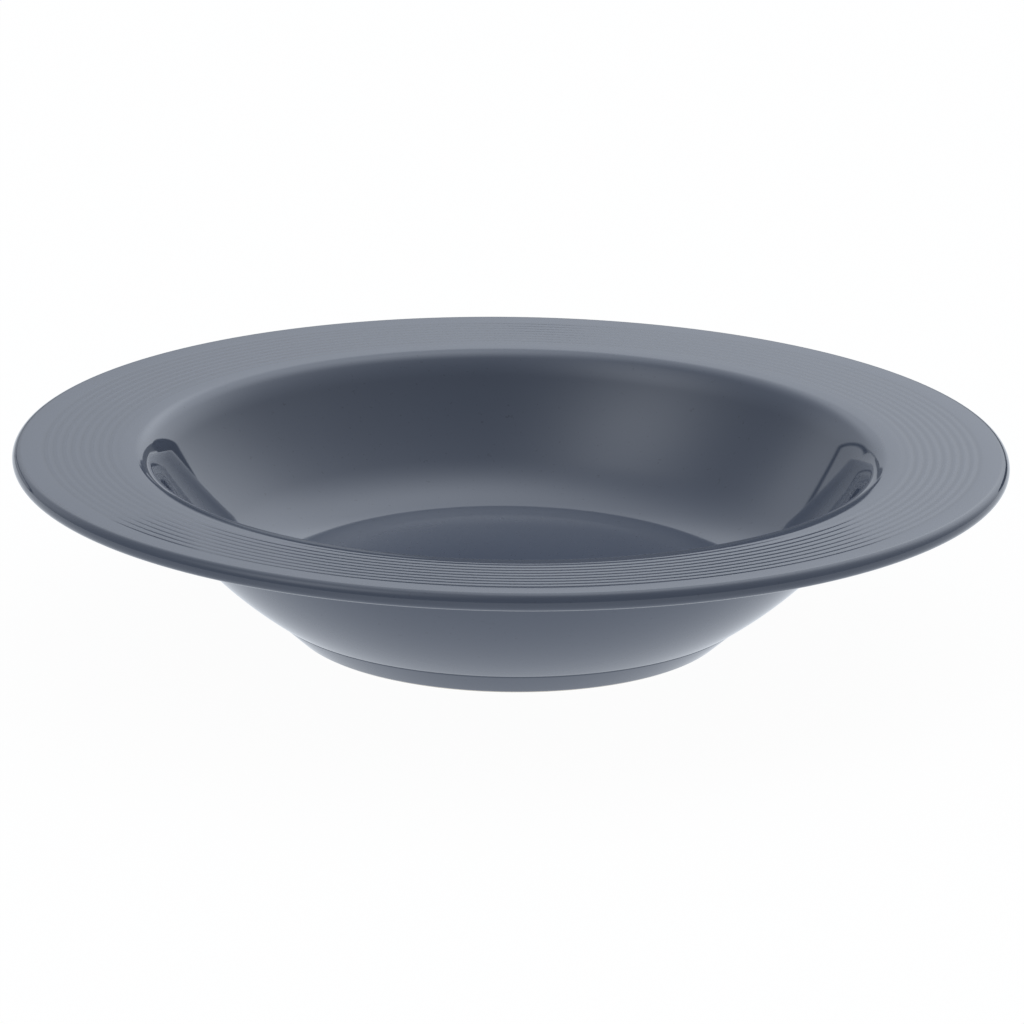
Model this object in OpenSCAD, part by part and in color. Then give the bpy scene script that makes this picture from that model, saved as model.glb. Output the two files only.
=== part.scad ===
// Rimmed soup plate.
// A deep round well with a wide, nearly flat rim, on a tapered foot ring.
// The fired clay body carries two coats of glaze: one over everything that shows from above and
// from the side, and one in the recess inside the foot. The standing edge between them is bare.
// All three are turned from one profile, drawn in the half plane [radius, height].

/* [Plate] */
// Overall diameter across the rim
plate_d = 229; // [210:1:250]
// Overall height, from the table to the top of the rim's edge
plate_h = 44; // [40:0.5:50]

/* [Rim] */
// Thickness of the rim at its full-round edge
edge_t = 4; // [3:0.1:5]
// Rise of the rim's upper face towards the edge, in degrees
rim_rise = 1.7; // [0.5:0.1:4]
// Rise of the rim's lower face towards the edge, in degrees
under_rise = 4; // [2:0.1:7]
// Radius of the rounding from the rim down into the well
lip_r = 6; // [5:0.5:8]
// Radius of the gentle shoulder between the rim's rings and that rounding
shoulder_r = 70; // [40:5:120]
// Turn of that shoulder, in degrees
shoulder_turn = 4.1; // [2:0.1:6]
// Slope of the wall where that rounding ends, in degrees
lip_end = 43.5; // [40:0.5:50]
// Radius of the gentler curve from there down to the bowl's wall
brow_r = 20; // [12:1:30]
// Radius of the hollow where the rim's lower face meets the bowl
under_r = 10; // [6:0.5:14]

/* [Turned rings] */
// Distance from one turned ring to the next
ring_pitch = 2.1; // [1.6:0.1:3]
// Depth of the groove between two rings
ring_depth = 0.04; // [0.02:0.005:0.1]
// Least width of the plain band between the last ring and the rim's edge
edge_band = 2.5; // [1.5:0.1:6]

/* [Bowl] */
// Radius of the bowl's outer face, part of a sphere centred on the plate's axis
bowl_r = 100; // [95:0.5:110]
// Thickness of the bowl's wall
wall_t = 5; // [4:0.1:6]
// Radius of the curve from the wall to the flat floor of the well
fillet_r = 30; // [22:1:36]
// Thickness of the floor above the recess in the foot
floor_t = 7; // [5.5:0.1:8]

/* [Foot] */
// Diameter of the turned line where the bowl meets the foot
crease_d = 112; // [106:0.5:116]
// Height of that line above the table
crease_h = 6.1; // [5.5:0.1:7]
// Width of that line
crease_w = 1; // [0.6:0.1:1.4]
// Depth of that line
crease_depth = 0.12; // [0.06:0.01:0.3]
// Outer diameter of the flat standing edge
foot_d = 95.4; // [92:0.2:98]
// Radius of the foot's outer lower edge
foot_round = 4.1; // [3:0.1:5]
// Width of the flat standing edge
foot_w = 3; // [2:0.1:5]
// Radius of the foot's inner lower edge
foot_in_round = 1; // [0.5:0.1:1.4]
// Height of the recess inside the foot
recess_h = 5.5; // [4.5:0.1:6]
// Radius of the corner between the recess and the foot
recess_r = 1.5; // [0.8:0.1:1.8]

/* [Glaze] */
// Thickness of the glaze
glaze_t = 0.35; // [0.2:0.05:0.5]
// Height at which the outer glaze is wiped off the foot
glaze_stop_h = 0.6; // [0.3:0.05:1]
// Turn of the foot's outer lower edge over which that glaze thins out, in degrees
glaze_fade = 12; // [6:1:20]

/* [Hidden] */

// Largest gap between an arc and the chords that stand for it
chord_tol = 0.01;
// Largest share that the foot's round and its bare part take of the room for them
round_share = 0.9;
// Straightness of the rings' flanks, from 0 for a plain wave to 1 for a zigzag
ring_edge = 0.95;
// Steps across one turned ring, and across the line above the foot
ring_steps = 8;
crease_steps = 6;
// Sides of the turned solids
$fn = 180;

GLAZE = "#4D5462";
CLAY = "#CFC7B8";

function polar(a) = [cos(a), sin(a)];

// Points of an arc about c, from angle a0 to angle a1, without its first point
function arc(c, r, a0, a1) =
    let (n = ceil(abs(a1 - a0) / (2 * acos(1 - chord_tol / r))))
    [for (i = [1:1:n]) c + r * polar(a0 + (a1 - a0) * i / n)];

function reversed(points) = [for (i = [len(points) - 1:-1:0]) points[i]];

// Larger abscissa of the point at distance r from [0, centre_h] and at level s along the normal at angle a
function on_line(centre_h, r, a, s) =
    let (h = s - centre_h * sin(a))
    h * cos(a) + sqrt(r * r - h * h) * abs(sin(a));

// The bowl: two spheres about one centre on the axis
bowl_c = [0, crease_h + sqrt(pow(bowl_r, 2) - pow(crease_d / 2, 2))];
well_r = bowl_r - wall_t;

// The rim's edge: a full round between the two faces of the rim
edge_r = edge_t / 2;
edge_c = [plate_d / 2 - edge_r, plate_h - edge_r];
rim_a = 90 + rim_rise;
under_a = under_rise - 90;
rim_level = edge_c * polar(rim_a) + edge_r;
under_level = edge_c * polar(under_a) + edge_r;

// Into the well in three rounds, each of which touches the next: the shoulder, which touches the rim's
// upper face from below, the lip, and the brow, which touches the well's sphere from outside
shoulder_a = rim_a + shoulder_turn;
lip_end_a = 90 + lip_end;
to_lip = (shoulder_r - lip_r) * polar(shoulder_a);
to_brow = (lip_r - brow_r) * polar(lip_end_a);
brow_level = rim_level - shoulder_r + (to_lip + to_brow) * polar(rim_a);
brow_x = on_line(bowl_c[1], well_r + brow_r, rim_a, brow_level);
brow_c = [brow_x, (brow_level - brow_x * cos(rim_a)) / sin(rim_a)];
brow_a = atan2(brow_c[1] - bowl_c[1], brow_c[0]);
lip_c = brow_c - to_brow;
shoulder_c = lip_c - to_lip;

// The hollow under the rim: touches the rim's lower face and the bowl's sphere from outside
hollow_level = under_level + under_r;
hollow_x = on_line(bowl_c[1], bowl_r + under_r, under_a, hollow_level);
hollow_c = [hollow_x, (hollow_level - hollow_x * cos(under_a)) / sin(under_a)];
hollow_a = atan2(hollow_c[1] - bowl_c[1], hollow_c[0]);

// The well's floor, and the curve that touches it and the well's sphere from inside
floor_h = recess_h + floor_t;
fillet_h = floor_h + fillet_r;
fillet_c = [sqrt(pow(well_r - fillet_r, 2) - pow(bowl_c[1] - fillet_h, 2)), fillet_h];
fillet_a = atan2(fillet_h - bowl_c[1], fillet_c[0]);

// The turned rings fill the rim from the shoulder to the plain band
ring_x = shoulder_c[0] + shoulder_r * cos(rim_a);
ring_room = edge_c[0] + edge_r * cos(rim_a) - edge_band - ring_x;
ring_count = max(0, floor(ring_room / ring_pitch));

// The foot: its side runs from the turned line to the round at the standing edge,
// and that round is small enough to stay inside the line
foot_edge = [foot_d / 2, 0];
crease = [crease_d / 2, crease_h];
round_room = pow(norm(crease - foot_edge), 2) / (2 * crease_h);
foot_r = min(foot_round, round_share * round_room);
foot_c = foot_edge + [0, foot_r];
side_v = crease - foot_c;
side_a = atan2(side_v[1], side_v[0]) - acos(foot_r / norm(side_v));
side_n = polar(side_a);
side_down = [side_n[1], -side_n[0]];
side_s = sign((crease - bowl_c) * side_down);

// The outer glaze ends on that round, and thins out over its last few degrees
stop_h = min(glaze_stop_h, round_share * foot_r * (1 + sin(side_a)));
glaze_stop_a = -asin(1 - stop_h / foot_r);
glaze_thin_a = min(side_a, glaze_stop_a + glaze_fade);

// The recess in the foot
foot_in_c = [foot_d / 2 - foot_w, foot_in_round];
recess_c = [foot_in_c[0] - foot_in_round - recess_r, recess_h - recess_r];

// Height of the rim's upper face at radius x, inset by t, with the turned grooves
function groove(x) =
    ring_depth / 2 * (1 - asin(ring_edge * cos(360 * (x - ring_x) / ring_pitch)) / asin(ring_edge));
function rim_height(x, t) = (rim_level - t - x * cos(rim_a)) / sin(rim_a) - groove(x);

function rings(t) = ring_count == 0 ? [] :
    [for (i = [1:ring_count * ring_steps])
        let (x = ring_x + i * ring_pitch / ring_steps)
        [x, rim_height(x, t)]];

// Where the bowl meets the foot's side, inset by t: of the two points that a line and a circle
// share, the one at the turned line
function crease_at(t) =
    let (r = bowl_r - t, h = foot_c * side_n + foot_r - t - bowl_c * side_n)
    bowl_c + h * side_n + side_s * sqrt(r * r - h * h) * side_down;

function crease_dip(s) = crease_depth * pow(cos(180 * s / crease_w), 2);

// The bowl's outer face down to the turned line, and that line down to the foot's side, inset by t
function bowl_outside(t) =
    let (
        r = bowl_r - t,
        p = crease_at(t),
        a = atan2(p[1] - bowl_c[1], p[0]),
        half_a = crease_w / 2 / r * 180 / PI
    )
    concat(
        arc(bowl_c, r, hollow_a, a + half_a),
        [for (i = [1:crease_steps - 1])
            let (s = (i / crease_steps - 0.5) * crease_w)
            s < 0
                ? bowl_c + (r - crease_dip(s)) * polar(a - 2 * s / crease_w * half_a)
                : p + s * side_down - crease_dip(s) * side_n],
        [p + crease_w / 2 * side_down]
    );

// The glazed face from the middle of the well, over the rim and down to the foot, inset by t
function upper_face(t) =
    concat(
        [[0, floor_h - t], [fillet_c[0], floor_h - t]],
        arc(fillet_c, fillet_r + t, -90, fillet_a),
        arc(bowl_c, well_r + t, fillet_a, brow_a),
        arc(brow_c, brow_r - t, brow_a + 180, lip_end_a),
        arc(lip_c, lip_r - t, lip_end_a, shoulder_a),
        arc(shoulder_c, shoulder_r - t, shoulder_a, rim_a),
        rings(t),
        [edge_c + (edge_r - t) * polar(rim_a)],
        arc(edge_c, edge_r - t, rim_a, under_a),
        [hollow_c - (under_r + t) * polar(under_a)],
        arc(hollow_c, under_r + t, under_a + 180, hollow_a + 180),
        bowl_outside(t),
        [foot_c + (foot_r - t) * side_n]
    );

// The face of the recess, from its middle to the foot, inset by t
function recess_face(t) =
    concat(
        [[0, recess_h + t], [recess_c[0], recess_h + t]],
        arc(recess_c, recess_r + t, 90, 0)
    );

// The clay's face under the outer glaze
under_glaze = concat(upper_face(glaze_t), arc(foot_c, foot_r - glaze_t, side_a, glaze_thin_a));

// The glaze ends on the outer round, and on the inner one
glaze_stop = foot_c + foot_r * polar(glaze_stop_a);
base_stop = foot_in_c - [foot_in_round, 0];

module turned(profile) {
    rotate_extrude()
        polygon(profile);
}

// Fired clay body: well, wall, rim and foot ring in one piece
module clay_body() {
    color(CLAY)
        turned(concat(
            under_glaze,
            [glaze_stop],
            arc(foot_c, foot_r, glaze_stop_a, -90),
            [foot_in_c - [0, foot_in_round]],
            arc(foot_in_c, foot_in_round, -90, -180),
            reversed(recess_face(glaze_t))
        ));
}

// Glaze over the well, the rim, the bowl and the foot's side, thinning to nothing at the standing edge
module glaze_coat() {
    color(GLAZE)
        turned(concat(
            upper_face(0),
            arc(foot_c, foot_r, side_a, glaze_stop_a),
            reversed(under_glaze)
        ));
}

// Glaze in the recess inside the foot ring
module base_glaze() {
    color(GLAZE)
        turned(concat(
            recess_face(0),
            [base_stop],
            reversed(recess_face(glaze_t))
        ));
}

clay_body();
glaze_coat();
base_glaze();
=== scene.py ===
"""Rimmed soup plate in slate-grey glazed stoneware, standing on a pale studio floor.

Every surface is turned about the plate's axis from one profile, in millimetres, [radius, height].
"""
import math

import bpy
import numpy as np
from mathutils import Matrix, Vector


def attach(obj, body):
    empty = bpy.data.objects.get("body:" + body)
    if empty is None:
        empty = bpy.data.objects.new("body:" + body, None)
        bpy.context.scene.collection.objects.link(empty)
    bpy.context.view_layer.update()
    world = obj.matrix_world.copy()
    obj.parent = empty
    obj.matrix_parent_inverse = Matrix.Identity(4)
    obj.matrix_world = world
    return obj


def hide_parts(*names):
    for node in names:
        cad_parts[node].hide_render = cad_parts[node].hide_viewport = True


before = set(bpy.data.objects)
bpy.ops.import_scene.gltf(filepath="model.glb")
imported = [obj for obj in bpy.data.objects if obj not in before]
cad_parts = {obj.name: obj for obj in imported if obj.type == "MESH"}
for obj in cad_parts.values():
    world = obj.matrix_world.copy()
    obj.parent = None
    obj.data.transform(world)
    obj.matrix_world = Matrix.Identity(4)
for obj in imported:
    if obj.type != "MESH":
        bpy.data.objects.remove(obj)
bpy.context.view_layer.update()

MM = 0.001

# The plate's sizes, as in the CAD model
PLATE_D = 229.0
PLATE_H = 44.0
EDGE_R = 2.0
RIM_RISE = 1.7
UNDER_RISE = 4.0
LIP_R = 6.0
SHOULDER_R = 70.0
SHOULDER_TURN = 4.1
LIP_END = 43.5
BROW_R = 20.0
UNDER_R = 10.0
RING_PITCH = 2.1
RING_DEPTH = 0.04
RING_EDGE = 0.95
RING_COUNT = 8
BOWL_R = 100.0
WALL_T = 5.0
FILLET_R = 30.0
FLOOR_H = 12.5
CREASE = np.array([56.0, 6.1])
CREASE_W = 1.0
CREASE_DEPTH = 0.12
FOOT_C = np.array([47.7, 4.1])
FOOT_R = 4.1
FOOT_W = 3.0
FOOT_IN_R = 1.0
RECESS_H = 5.5
RECESS_R = 1.5
GLAZE_T = 0.35
GLAZE_STOP_H = 0.6

# Depth of the innermost groove, on the shoulder of the lip, as a share of the others' depth
RING_RUN_OUT = 0.4

# Steps of the turned pieces round the axis, and steps of the hidden face under the glaze as a share of those
# of the face
SIDES = 200
HIDDEN_FINE = 0.2

# The table: half its width in metres, the share of even white in what it shows to the camera and to other
# rays, and how bright that white is to other rays
TABLE_HALF = 6.0
TABLE_SEEN = 0.97
TABLE_MIRRORED = 0.85
TABLE_LEVEL = 1.08

# The studio light: its colour, a little cool, the glow all round, and the softboxes, each as compass angle
# from straight behind the plate to the right, height in degrees, sharpness and level
DAYLIGHT = "#F1F7FF"
GLOW = 0.35
LAMPS = (
    # behind the camera, to the left
    (-117.4, 54.1, 15.2, 1.58),
    # behind the plate, to the right
    (10.0, 62.0, 14.0, 0.72),
    (35.8, 62.8, 10.7, 0.72),
    (41.5, 35.2, 16.2, 0.60),
    (30.0, 30.0, 12.0, 0.36),
    (25.0, 17.0, 12.0, 0.36),
    (60.0, 30.0, 20.0, 0.13),
    (10.0, 26.0, 60.0, 0.60),
    # behind the plate, to the left
    (-15.0, 28.0, 60.0, 0.45),
    (-20.0, 34.0, 40.0, 0.13),
    (-30.0, 35.0, 12.0, 0.08),
    (-40.0, 28.0, 30.0, 0.06),
    (-50.0, 18.0, 30.0, 0.32),
    # broad light behind, at the right and overhead
    (1.0, 36.6, 1.88, 0.26),
    (90.0, 40.0, 6.0, 0.26),
    (-5.0, 78.0, 16.0, 0.38),
)

# Gaps in the light just above the table's far edge, each an oval or an oval ring of directions: level,
# compass angle and height of its middle, half its length and half its thickness in degrees, its tilt, and the
# ring's inner edge as a share of the outer one, below 0 for a filled oval. Later ones lie over earlier ones
GAPS = (
    # mirrored in the right end of the lip
    (0.30, -17.5, 8.7, 6.5, 1.1, 0.0, -1.0),
    (0.18, -9.3, 7.4, 4.4, 2.0, 0.0, -1.0),
    (0.14, -4.6, 9.3, 3.8, 1.5, 50.0, -1.0),
    # mirrored in the front of the lip and in the front rings
    (0.34, -1.3, 5.5, 0.9, 6.4, 0.0, -1.0),
    (0.06, 0.3, 11.0, 1.7, 2.3, 0.0, -1.0),
    (0.12, 0.35, 5.0, 0.95, 8.0, 0.0, -1.0),
    # mirrored in the left end of the lip
    (0.12, 4.2, 8.9, 3.7, 1.5, -50.0, -1.0),
    (0.16, 11.5, 6.2, 11.0, 3.2, 0.0, -1.0),
    (0.05, 26.5, 5.6, 8.2, 5.0, 0.0, -1.0),
    # a dark frame mirrored in the right end of the well, and the light that breaks it
    (0.05, -31.5, 4.0, 12.0, 9.2, 0.0, 0.80),
    (0.55, -20.0, 3.4, 3.4, 4.2, 0.0, -1.0),
)
GAP_EDGE = 0.08

# The photograph's viewpoint: distance in metres, height above the table and roll in degrees, the point in the
# picture's middle in millimetres, and the focal length and the picture's width in its pixels
CAMERA_DISTANCE = 1.3
CAMERA_RISE = 16.96
CAMERA_ROLL = 0.736
CAMERA_TARGET = (0.375, 0.0, 27.52)
FOCAL_PIXELS = 5627.1
PHOTO_PIXELS = 1024
SENSOR_WIDTH = 36.0


def linear(hex_colour):
    """sRGB hex to linear RGBA: the sRGB curve undone, channel by channel."""
    c = np.array([int(hex_colour[i:i + 2], 16) for i in (1, 3, 5)]) / 255
    c = np.where(c <= 0.04045, c / 12.92, ((c + 0.055) / 1.055) ** 2.4)
    return (*c.tolist(), 1.0)


def add(tree, kind, links=None, **settings):
    """Adds a node, sets its properties, then sets or links its inputs: links maps an input's name or number to a
    value or to another node's output."""
    n = tree.nodes.new(kind)
    for key, value in settings.items():
        setattr(n, key, value)
    for key, value in (links or {}).items():
        if isinstance(value, bpy.types.NodeSocket):
            tree.links.new(value, n.inputs[key])
        else:
            n.inputs[key].default_value = value
    return n


def polar(a):
    """Unit vectors at angles a, in degrees."""
    a = np.radians(a)
    return np.stack([np.cos(a), np.sin(a)], -1)


def arc(c, r, a0, a1, n):
    """n steps of a circle about c from angle a0 to a1, without its first point."""
    return c + r * polar(np.linspace(a0, a1, n + 1)[1:])


def on_line(centre_h, r, a, level):
    """Larger radius at which a straight line, with its normal at angle a and at that level along it, lies r from
    [0, centre_h]."""
    a = math.radians(a)
    h = level - centre_h * math.sin(a)
    return h * math.cos(a) + math.sqrt(r * r - h * h) * abs(math.sin(a))


def touching(centre_h, r, a, level):
    """The point of that line which lies r from [0, centre_h]: the centre of an arc that touches a face and a circle."""
    x = on_line(centre_h, r, a, level)
    return np.array([x, (level - x * math.cos(math.radians(a))) / math.sin(math.radians(a))])


def bearing(v):
    """Angle of a vector, in degrees."""
    return math.degrees(math.atan2(v[1], v[0]))


# Centres and tangent angles of the arcs in the profile
BOWL_C = np.array([0, CREASE[1] + math.sqrt(BOWL_R ** 2 - CREASE[0] ** 2)])
WELL_R = BOWL_R - WALL_T
EDGE_C = np.array([PLATE_D / 2 - EDGE_R, PLATE_H - EDGE_R])
RIM_A = 90 + RIM_RISE
UNDER_A = UNDER_RISE - 90
RIM_LEVEL = EDGE_C @ polar(RIM_A) + EDGE_R
UNDER_LEVEL = EDGE_C @ polar(UNDER_A) + EDGE_R
SHOULDER_A = RIM_A + SHOULDER_TURN
LIP_END_A = 90 + LIP_END
TO_LIP = (SHOULDER_R - LIP_R) * polar(SHOULDER_A)
TO_BROW = (LIP_R - BROW_R) * polar(LIP_END_A)
BROW_LEVEL = RIM_LEVEL - SHOULDER_R + (TO_LIP + TO_BROW) @ polar(RIM_A)
BROW_C = touching(BOWL_C[1], WELL_R + BROW_R, RIM_A, BROW_LEVEL)
BROW_A = bearing(BROW_C - BOWL_C)
LIP_C = BROW_C - TO_BROW
SHOULDER_C = LIP_C - TO_LIP
HOLLOW_C = touching(BOWL_C[1], BOWL_R + UNDER_R, UNDER_A, UNDER_LEVEL + UNDER_R)
HOLLOW_A = bearing(HOLLOW_C - BOWL_C)
FILLET_H = FLOOR_H + FILLET_R
FILLET_C = np.array([math.sqrt((WELL_R - FILLET_R) ** 2 - (BOWL_C[1] - FILLET_H) ** 2), FILLET_H])
FILLET_A = bearing(FILLET_C - BOWL_C)
RING_X = SHOULDER_C[0] + SHOULDER_R * math.cos(math.radians(RIM_A))
SIDE_V = CREASE - FOOT_C
SIDE_A = bearing(SIDE_V) - math.degrees(math.acos(FOOT_R / np.linalg.norm(SIDE_V)))
SIDE_N = polar(SIDE_A)
SIDE_DOWN = np.array([SIDE_N[1], -SIDE_N[0]])
STOP_A = -math.degrees(math.asin(1 - GLAZE_STOP_H / FOOT_R))
STOP = FOOT_C + FOOT_R * polar(STOP_A)
FOOT_IN_C = np.array([FOOT_C[0] - FOOT_W, FOOT_IN_R])
RECESS_C = np.array([FOOT_IN_C[0] - FOOT_IN_R - RECESS_R, RECESS_H - RECESS_R])
RECESS_STOP = FOOT_IN_C - [FOOT_IN_R, 0]


def groove(x):
    """How deep in a turned groove the radii x lie, from 0 on a crest to 1: the arcsine of a cosine, a zigzag with
    rounded corners. The innermost groove, on the shoulder, is shallower, and inside it there is none."""
    wave = np.arcsin(RING_EDGE * np.cos(2 * np.pi * (x - RING_X) / RING_PITCH))
    share = np.where(x > RING_X, 1, np.where(x > RING_X - RING_PITCH, RING_RUN_OUT, 0))
    return share * (1 - wave / math.asin(RING_EDGE)) / 2


def rim_rings(t, steps):
    """The ringed part of the rim's straight face, inset by t, without the grooves."""
    x = RING_X + np.linspace(0, RING_COUNT * RING_PITCH, RING_COUNT * steps + 1)[1:]
    a = math.radians(RIM_A)
    return np.stack([x, (RIM_LEVEL - t - x * math.cos(a)) / math.sin(a)], -1)


def crease_line(t, steps):
    """The turned line between bowl and foot, inset by t: a cosine-squared dip across the corner of a circle and a
    line. Returns the bowl's angle at its start, its points and the dip at each."""
    r = BOWL_R - t
    h = FOOT_C @ SIDE_N + FOOT_R - t - BOWL_C @ SIDE_N
    p = BOWL_C + h * SIDE_N + math.sqrt(r * r - h * h) * SIDE_DOWN
    a = bearing(p - BOWL_C)
    half = math.degrees(CREASE_W / 2 / r)
    s = np.linspace(-0.5, 0.5, steps + 1)[1:]
    dip = np.cos(np.pi * s) ** 2
    bowl = BOWL_C + (r - CREASE_DEPTH * dip)[:, None] * polar(a - 2 * s * half)
    side = p + (s * CREASE_W)[:, None] * SIDE_DOWN - (CREASE_DEPTH * dip)[:, None] * SIDE_N
    return a + half, np.where((s < 0)[:, None], bowl, side), dip


def glazed_face(t, fine):
    """The glazed face from the middle of the well, over the rim and down to the foot, inset by t: straight lines and
    arcs that touch one another. fine multiplies the steps. Returns the points and a darkening mask at each, from 0 to
    1: glaze gathered in the grooves, a painted shade line with some gathered glaze in the crease above the foot, and
    the rim's rounded edge darkened all round."""
    def n(steps):
        return max(2, round(steps * fine))

    rings = rim_rings(t, n(14))
    shoulder = arc(SHOULDER_C, SHOULDER_R - t, SHOULDER_A, RIM_A, n(34))
    for face in (shoulder, rings):
        face[:, 1] -= RING_DEPTH * groove(face[:, 0])
    bowl_end, crease, dip = crease_line(t, n(14))
    flat = np.linspace(0, FILLET_C[0], n(16) + 1)
    parts = [
        (np.stack([flat, np.full_like(flat, FLOOR_H - t)], -1), 0),
        (arc(FILLET_C, FILLET_R + t, -90, FILLET_A, n(40)), 0),
        (arc(BOWL_C, WELL_R + t, FILLET_A, BROW_A, n(34)), 0),
        (arc(BROW_C, BROW_R - t, BROW_A + 180, LIP_END_A, n(12)), 0),
        (arc(LIP_C, LIP_R - t, LIP_END_A, SHOULDER_A, n(24)), 0),
        (shoulder, groove(shoulder[:, 0])),
        (rings, groove(rings[:, 0])),
        (EDGE_C + (EDGE_R - t) * polar(RIM_A)[None], 0),
        # the rim's rounded edge is darkened all round in the colour
        (arc(EDGE_C, EDGE_R - t, RIM_A, UNDER_A, n(36)), 1),
        (HOLLOW_C - (UNDER_R + t) * polar(UNDER_A)[None], 0),
        (arc(HOLLOW_C, UNDER_R + t, UNDER_A + 180, HOLLOW_A + 180, n(22)), 0),
        (arc(BOWL_C, BOWL_R - t, HOLLOW_A, bowl_end, n(44)), 0),
        # painted shade in the crease above the foot, together with glaze gathered there
        (crease, dip),
        (FOOT_C + (FOOT_R - t) * polar(SIDE_A)[None], 0),
    ]
    points = np.concatenate([p for p, _ in parts])
    pool_and_shade = np.concatenate([np.broadcast_to(np.asarray(w, float), len(p)) for p, w in parts])
    return points, pool_and_shade


def recess_face(t, steps):
    """The face of the recess in the foot, inset by t, from its middle outwards: a flat disc and a rounded corner."""
    flat = np.linspace(0, RECESS_C[0], steps + 1)
    return np.concatenate([
        np.stack([flat, np.full_like(flat, RECESS_H + t)], -1),
        arc(RECESS_C, RECESS_R + t, 90, 0, steps),
    ])


def turned(name, profile, pool_and_shade=None):
    """A profile whose two ends lie on the axis, carried round it: each point at radius r and height z goes to
    [r cos u, r sin u, z] for equal steps of u. The ends close in fans, so the shell has no hole and no seam. The
    darkening mask of gathered glaze and painted shade, if given, is kept as an attribute of the points."""
    u = np.linspace(0, 2 * np.pi, SIDES, endpoint=False)
    ring = profile[1:-1] * MM
    m = len(ring)
    grid = np.empty((m, SIDES, 3))
    grid[..., 0] = ring[:, :1] * np.cos(u)
    grid[..., 1] = ring[:, :1] * np.sin(u)
    grid[..., 2] = ring[:, 1:]
    ends = np.array([[0, 0, profile[0, 1] * MM], [0, 0, profile[-1, 1] * MM]])
    verts = np.concatenate([grid.reshape(-1, 3), ends])
    index = np.arange(m * SIDES).reshape(m, SIDES)
    after = np.roll(index, -1, axis=1)
    quads = np.stack([index[:-1], index[1:], after[1:], after[:-1]], -1).reshape(-1, 4)
    first = np.stack([np.full(SIDES, m * SIDES), index[0], after[0]], -1)
    last = np.stack([index[-1], np.full(SIDES, m * SIDES + 1), after[-1]], -1)
    corners = np.concatenate([quads.ravel(), first.ravel(), last.ravel()])
    sizes = np.concatenate([np.full(len(quads), 4), np.full(2 * SIDES, 3)])
    starts = np.concatenate([[0], np.cumsum(sizes)[:-1]])
    mesh = bpy.data.meshes.new(name)
    mesh.vertices.add(len(verts))
    mesh.vertices.foreach_set("co", verts.astype(np.float32).ravel())
    mesh.loops.add(len(corners))
    mesh.loops.foreach_set("vertex_index", corners.astype(np.int32))
    mesh.polygons.add(len(sizes))
    mesh.polygons.foreach_set("loop_start", starts.astype(np.int32))
    mesh.polygons.foreach_set("use_smooth", np.ones(len(sizes), bool))
    mesh.update(calc_edges=True)
    mesh.validate()
    if pool_and_shade is not None:
        depth = np.concatenate([np.repeat(pool_and_shade[1:-1], SIDES), pool_and_shade[[0, -1]]])
        mesh.attributes.new("pool_and_shade", "FLOAT", "POINT").data.foreach_set("value", depth.astype(np.float32))
    piece = bpy.data.objects.new(name, mesh)
    bpy.context.scene.collection.objects.link(piece)
    return piece


def blank(name):
    """A new material with an empty node tree, and that tree."""
    mat = bpy.data.materials.new(name)
    mat.use_nodes = True
    mat.node_tree.nodes.clear()
    return mat, mat.node_tree


def noise(t, place, size, detail, roughness=0.5):
    """A noise pattern of that size, in millimetres."""
    return add(t, "ShaderNodeTexNoise", {
        "Vector": place, "Scale": 1 / (size * MM), "Detail": detail, "Roughness": roughness}).outputs["Fac"]


def ramp(t, value, start, end, low, high):
    """A straight ramp of a value, from low at start to high at end."""
    return add(t, "ShaderNodeMapRange", {
        "Value": value, "From Min": start, "From Max": end, "To Min": low, "To Max": high}).outputs["Result"]


def blend(t, share, first, second):
    """A mix of two colours, with that share of the second."""
    return add(t, "ShaderNodeMix", {"Factor": share, "A": first, "B": second}, data_type="RGBA").outputs["Result"]


def finish(t, colour, rough, height, strength, distance):
    """The shader of a fired surface: colour, roughness and a relief of that distance in millimetres."""
    bump = add(t, "ShaderNodeBump", {"Height": height, "Strength": strength, "Distance": distance * MM})
    body = add(t, "ShaderNodeBsdfPrincipled", {
        "Base Color": colour, "Roughness": rough, "IOR": 1.5, "Normal": bump.outputs["Normal"]})
    add(t, "ShaderNodeOutputMaterial", {"Surface": body.outputs["BSDF"]})


def slate_glaze():
    """Stoneware glaze, dipped and fired until it ran level. The eye gets mirror-sharp reflections over one deep slate
    tone, which drifts a little where the coat is thicker, darkens where it gathered in the grooves, is darker round the
    rim's rounded edge, has a painted shade line in the crease above the foot, and holds fine iron specks."""
    mat, t = blank("slate_stoneware_glaze")
    place = add(t, "ShaderNodeTexCoord").outputs["Object"]
    # clouds about 35 mm across, where the coat's thickness drifts
    tone = blend(t, noise(t, place, 35, 3.0), linear("#484F5D"), linear("#4E5563"))
    # iron specks about 0.6 mm across
    speck = ramp(t, noise(t, place, 1.2, 2.0, 0.6), 0.66, 0.76, 0.0, 0.35)
    specked = blend(t, speck, tone, linear("#2F343E"))
    # glaze gathered in the grooves is deeper; the same mask paints a shade line into the crease above the foot and
    # darkens the rim's rounded edge
    pool_and_shade = add(t, "ShaderNodeAttribute", attribute_name="pool_and_shade").outputs["Fac"]
    pooled_and_shaded = blend(t, ramp(t, pool_and_shade, 0.0, 1.0, 0.0, 0.3), specked, linear("#363C48"))
    # the gloss is a little less sharp in places, over about 12 mm
    rough = ramp(t, noise(t, place, 12, 2.0), 0.3, 0.7, 0.025, 0.055)
    # faint orange peel, about 4 mm from crest to crest
    peel = noise(t, place, 4, 1.0)
    finish(t, pooled_and_shaded, rough, peel, 1.0, 0.0015)
    return mat


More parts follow.
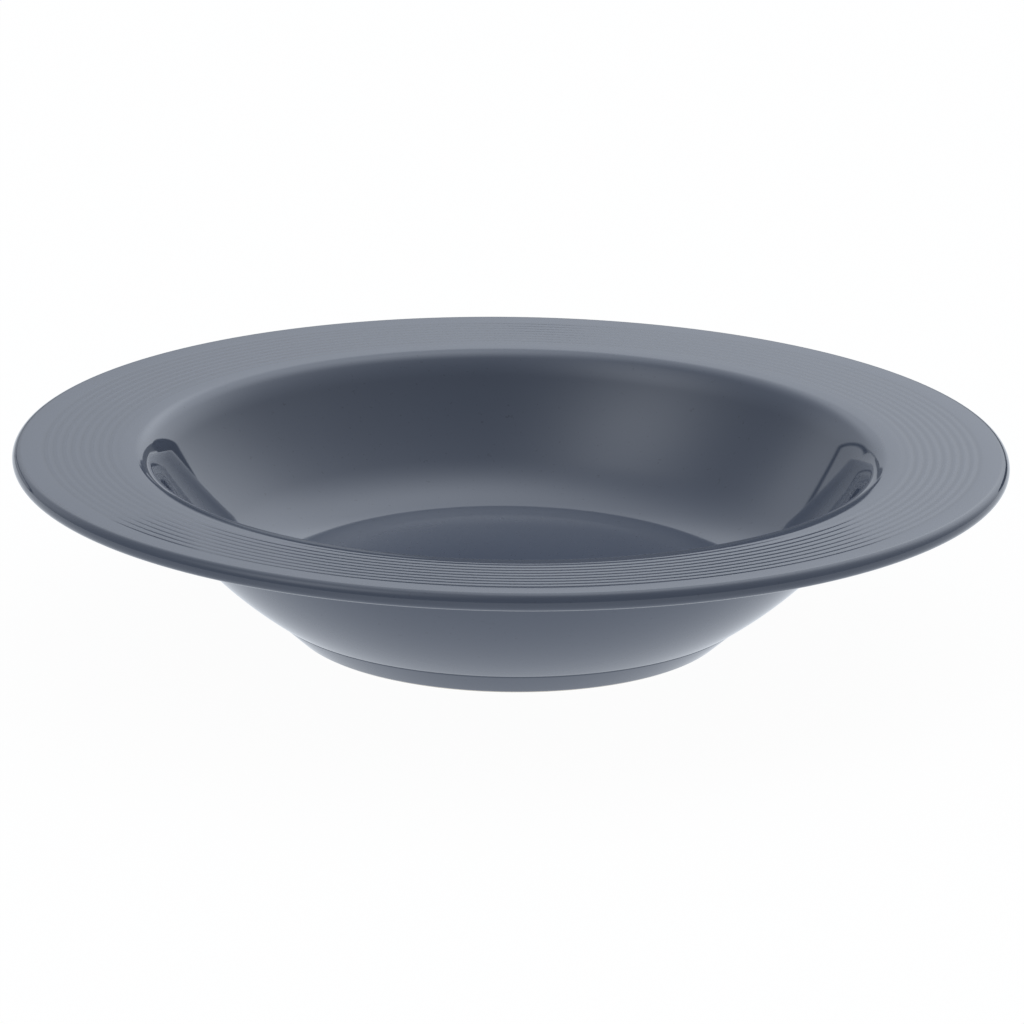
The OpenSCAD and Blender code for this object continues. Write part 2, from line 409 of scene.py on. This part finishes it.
def bare_stoneware():
    """Fired stoneware clay, wiped clean and ground flat. The eye gets a dry buff face with sandy grain and a few dark
    iron grains, and no gloss."""
    mat, t = blank("bare_buff_stoneware")
    place = add(t, "ShaderNodeTexCoord").outputs["Object"]
    # toasting that drifts over about 15 mm
    toast = noise(t, place, 15, 3.0)
    tone = blend(t, toast, linear("#C9BCA6"), linear("#DDD3C1"))
    rough = ramp(t, toast, 0.3, 0.7, 0.78, 0.9)
    # sand about 0.3 mm across
    sand = noise(t, place, 0.6, 3.0, 0.65)
    grained = blend(t, ramp(t, sand, 0.6, 0.72, 0.0, 0.6), tone, linear("#8A7A66"))
    finish(t, grained, rough, sand, 0.8, 0.08)
    return mat


def studio_floor():
    """A pale matt table. The camera and mirror rays see it nearly white, and it keeps a soft shadow; from below it is
    clear, so that the foot can be seen."""
    mat, t = blank("pale_matt_table")
    path = add(t, "ShaderNodeLightPath").outputs
    matt = add(t, "ShaderNodeBsdfDiffuse", {"Color": linear("#FAFAFA")})
    white = add(t, "ShaderNodeEmission", {"Color": linear("#FFFFFF"), "Strength": 1.0})
    seen = add(t, "ShaderNodeMixShader", {0: TABLE_SEEN, 1: matt.outputs[0], 2: white.outputs[0]})
    bounced = add(t, "ShaderNodeEmission", {"Color": linear(DAYLIGHT), "Strength": TABLE_LEVEL})
    mirrored = add(t, "ShaderNodeMixShader", {0: TABLE_MIRRORED, 1: matt.outputs[0], 2: bounced.outputs[0]})
    top = add(t, "ShaderNodeMixShader", {0: path["Is Camera Ray"], 1: mirrored.outputs[0], 2: seen.outputs[0]})
    under = add(t, "ShaderNodeBsdfTransparent")
    back = add(t, "ShaderNodeNewGeometry").outputs["Backfacing"]
    both = add(t, "ShaderNodeMixShader", {0: back, 1: top.outputs[0], 2: under.outputs[0]})
    add(t, "ShaderNodeOutputMaterial", {"Surface": both.outputs[0]})
    h = TABLE_HALF
    mesh = bpy.data.meshes.new("studio_floor")
    mesh.from_pydata([(-h, -h, 0), (h, -h, 0), (h, h, 0), (-h, h, 0)], [], [(0, 1, 2, 3)])
    floor = bpy.data.objects.new("studio_floor", mesh)
    bpy.context.scene.collection.objects.link(floor)
    mesh.materials.append(mat)


def slanted(t, turn, rise, along, up, start):
    """A straight-line function of compass angle and height: turn times along, plus rise times up, plus start."""
    part = add(t, "ShaderNodeMath", {0: rise, 1: up, 2: start}, operation="MULTIPLY_ADD").outputs[0]
    return add(t, "ShaderNodeMath", {0: turn, 1: along, 2: part}, operation="MULTIPLY_ADD").outputs[0]


def soft_step(t, value, start, end, mask=1.0):
    """A smooth step of a value from 0 at start to 1 at end, times a mask."""
    step = add(t, "ShaderNodeMapRange", {
        "Value": value, "From Min": start, "From Max": end}, interpolation_type="SMOOTHSTEP").outputs["Result"]
    return add(t, "ShaderNodeMath", {0: step, 1: mask}, operation="MULTIPLY").outputs[0]


def oval_mask(t, turn, rise, middle, size, tilt, inner):
    """1 inside an oval of directions, or between it and its inner edge, and 0 outside: soft steps of the distance from
    the oval's middle, as a share of its edge's. Angles are in degrees."""
    (mid_turn, mid_rise), (length, thickness) = np.radians((middle, size)).tolist()
    c, s = math.cos(math.radians(tilt)), math.sin(math.radians(tilt))
    along = slanted(t, turn, rise, c / length, s / length, -(mid_turn * c + mid_rise * s) / length)
    across = slanted(t, turn, rise, -s / thickness, c / thickness, (mid_turn * s - mid_rise * c) / thickness)
    square = add(t, "ShaderNodeMath", {0: along, 1: along}, operation="MULTIPLY").outputs[0]
    square = add(t, "ShaderNodeMath", {0: across, 1: across, 2: square}, operation="MULTIPLY_ADD").outputs[0]
    share = add(t, "ShaderNodeMath", {0: square}, operation="SQRT").outputs[0]
    mask = soft_step(t, share, 1 + GAP_EDGE, 1 - GAP_EDGE)
    return soft_step(t, share, inner - GAP_EDGE, inner + GAP_EDGE, mask)


def studio_world():
    """Soft studio light by direction: an even glow and a few round softboxes, each of which falls off as the
    exponential of the cosine of the angle to its middle, with gaps between the table's far edge and the backdrop. The
    camera itself sees white."""
    world = bpy.data.worlds.new("studio")
    bpy.context.scene.world = world
    world.use_nodes = True
    t = world.node_tree
    t.nodes.clear()
    way = add(t, "ShaderNodeTexCoord").outputs["Generated"]
    light = GLOW
    for turn, rise, sharp, level in LAMPS:
        turn, rise = math.radians(turn), math.radians(rise)
        middle = (math.sin(turn) * math.cos(rise), math.cos(turn) * math.cos(rise), math.sin(rise))
        near = add(t, "ShaderNodeVectorMath", {0: way, 1: middle}, operation="DOT_PRODUCT").outputs["Value"]
        power = add(t, "ShaderNodeMath", {0: near, 1: sharp, 2: -sharp}, operation="MULTIPLY_ADD").outputs[0]
        fall = add(t, "ShaderNodeMath", {0: power}, operation="EXPONENT").outputs[0]
        light = add(t, "ShaderNodeMath", {0: fall, 1: level, 2: light}, operation="MULTIPLY_ADD").outputs[0]
    axes = add(t, "ShaderNodeSeparateXYZ", {0: way}).outputs
    rise = add(t, "ShaderNodeMath", {0: axes["Z"]}, operation="ARCSINE").outputs[0]
    turn = add(t, "ShaderNodeMath", {0: axes["X"], 1: axes["Y"]}, operation="ARCTAN2").outputs[0]
    for level, mid_turn, mid_rise, length, thickness, tilt, inner in GAPS:
        mask = oval_mask(t, turn, rise, (mid_turn, mid_rise), (length, thickness), tilt, inner)
        light = add(t, "ShaderNodeMix", {"Factor": mask, "A": light, "B": level}).outputs["Result"]
    by_camera = add(t, "ShaderNodeLightPath").outputs["Is Camera Ray"]
    seen = add(t, "ShaderNodeMix", {"Factor": by_camera, "A": light, "B": 1.0}).outputs["Result"]
    tint = blend(t, by_camera, linear(DAYLIGHT), linear("#FFFFFF"))
    sky = add(t, "ShaderNodeBackground", {"Color": tint, "Strength": seen})
    add(t, "ShaderNodeOutputWorld", {"Surface": sky.outputs[0]})


def photo_camera():
    """The photograph's viewpoint: a long lens, looking down on the plate, level but for a slight roll."""
    rise, roll = math.radians(CAMERA_RISE), math.radians(CAMERA_ROLL)
    ahead = Vector((0, math.cos(rise), -math.sin(rise)))
    right = Vector((1, 0, 0))
    up = right.cross(ahead)
    across = math.cos(roll) * right + math.sin(roll) * up
    upward = -math.sin(roll) * right + math.cos(roll) * up
    eye = Vector(CAMERA_TARGET) * MM - CAMERA_DISTANCE * ahead
    data = bpy.data.cameras.new("camera")
    data.sensor_width = SENSOR_WIDTH
    data.lens = FOCAL_PIXELS / PHOTO_PIXELS * SENSOR_WIDTH
    data.clip_start, data.clip_end = 0.05, 50.0
    camera = bpy.data.objects.new("camera", data)
    camera.matrix_world = Matrix((
        (across.x, upward.x, -ahead.x, eye.x),
        (across.y, upward.y, -ahead.y, eye.y),
        (across.z, upward.z, -ahead.z, eye.z),
        (0, 0, 0, 1)))
    bpy.context.scene.collection.objects.link(camera)
    bpy.context.scene.camera = camera


# the face's darkening mask: gathered glaze in the grooves, painted shade in the crease, and the rim's darker edge
outer, outer_pool_and_shade = glazed_face(0, 1)
inner, _ = glazed_face(GLAZE_T, HIDDEN_FINE)
glaze_end = arc(FOOT_C, FOOT_R, SIDE_A, STOP_A, 5)
glaze = turned(
    "glaze", np.concatenate([outer, glaze_end, inner[::-1]]),
    np.concatenate([outer_pool_and_shade, np.zeros(len(glaze_end) + len(inner))]))
clay = turned("clay_body_turned", np.concatenate([
    inner, [STOP],
    arc(FOOT_C, FOOT_R, STOP_A, -90, 8),
    FOOT_IN_C - [[0, FOOT_IN_R]],
    arc(FOOT_IN_C, FOOT_IN_R, -90, -180, 8),
    recess_face(GLAZE_T, 8)[::-1],
]))
recess = turned("recess_glaze", np.concatenate([
    recess_face(GLAZE_T, 8), [RECESS_STOP], recess_face(0, 12)[::-1],
]))

glaze_material = slate_glaze()
glaze.data.materials.append(glaze_material)
recess.data.materials.append(glaze_material)
clay.data.materials.append(bare_stoneware())
for piece, node, slot in (
    (glaze, "glaze_coat", "slate_glaze"),
    (clay, "clay_body", "bare_stoneware"),
    (recess, "base_glaze", "slate_glaze"),
):
    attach(piece, "root")
    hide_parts(node)

studio_floor()
studio_world()
photo_camera()
bpy.context.scene.view_settings.view_transform = "Standard"
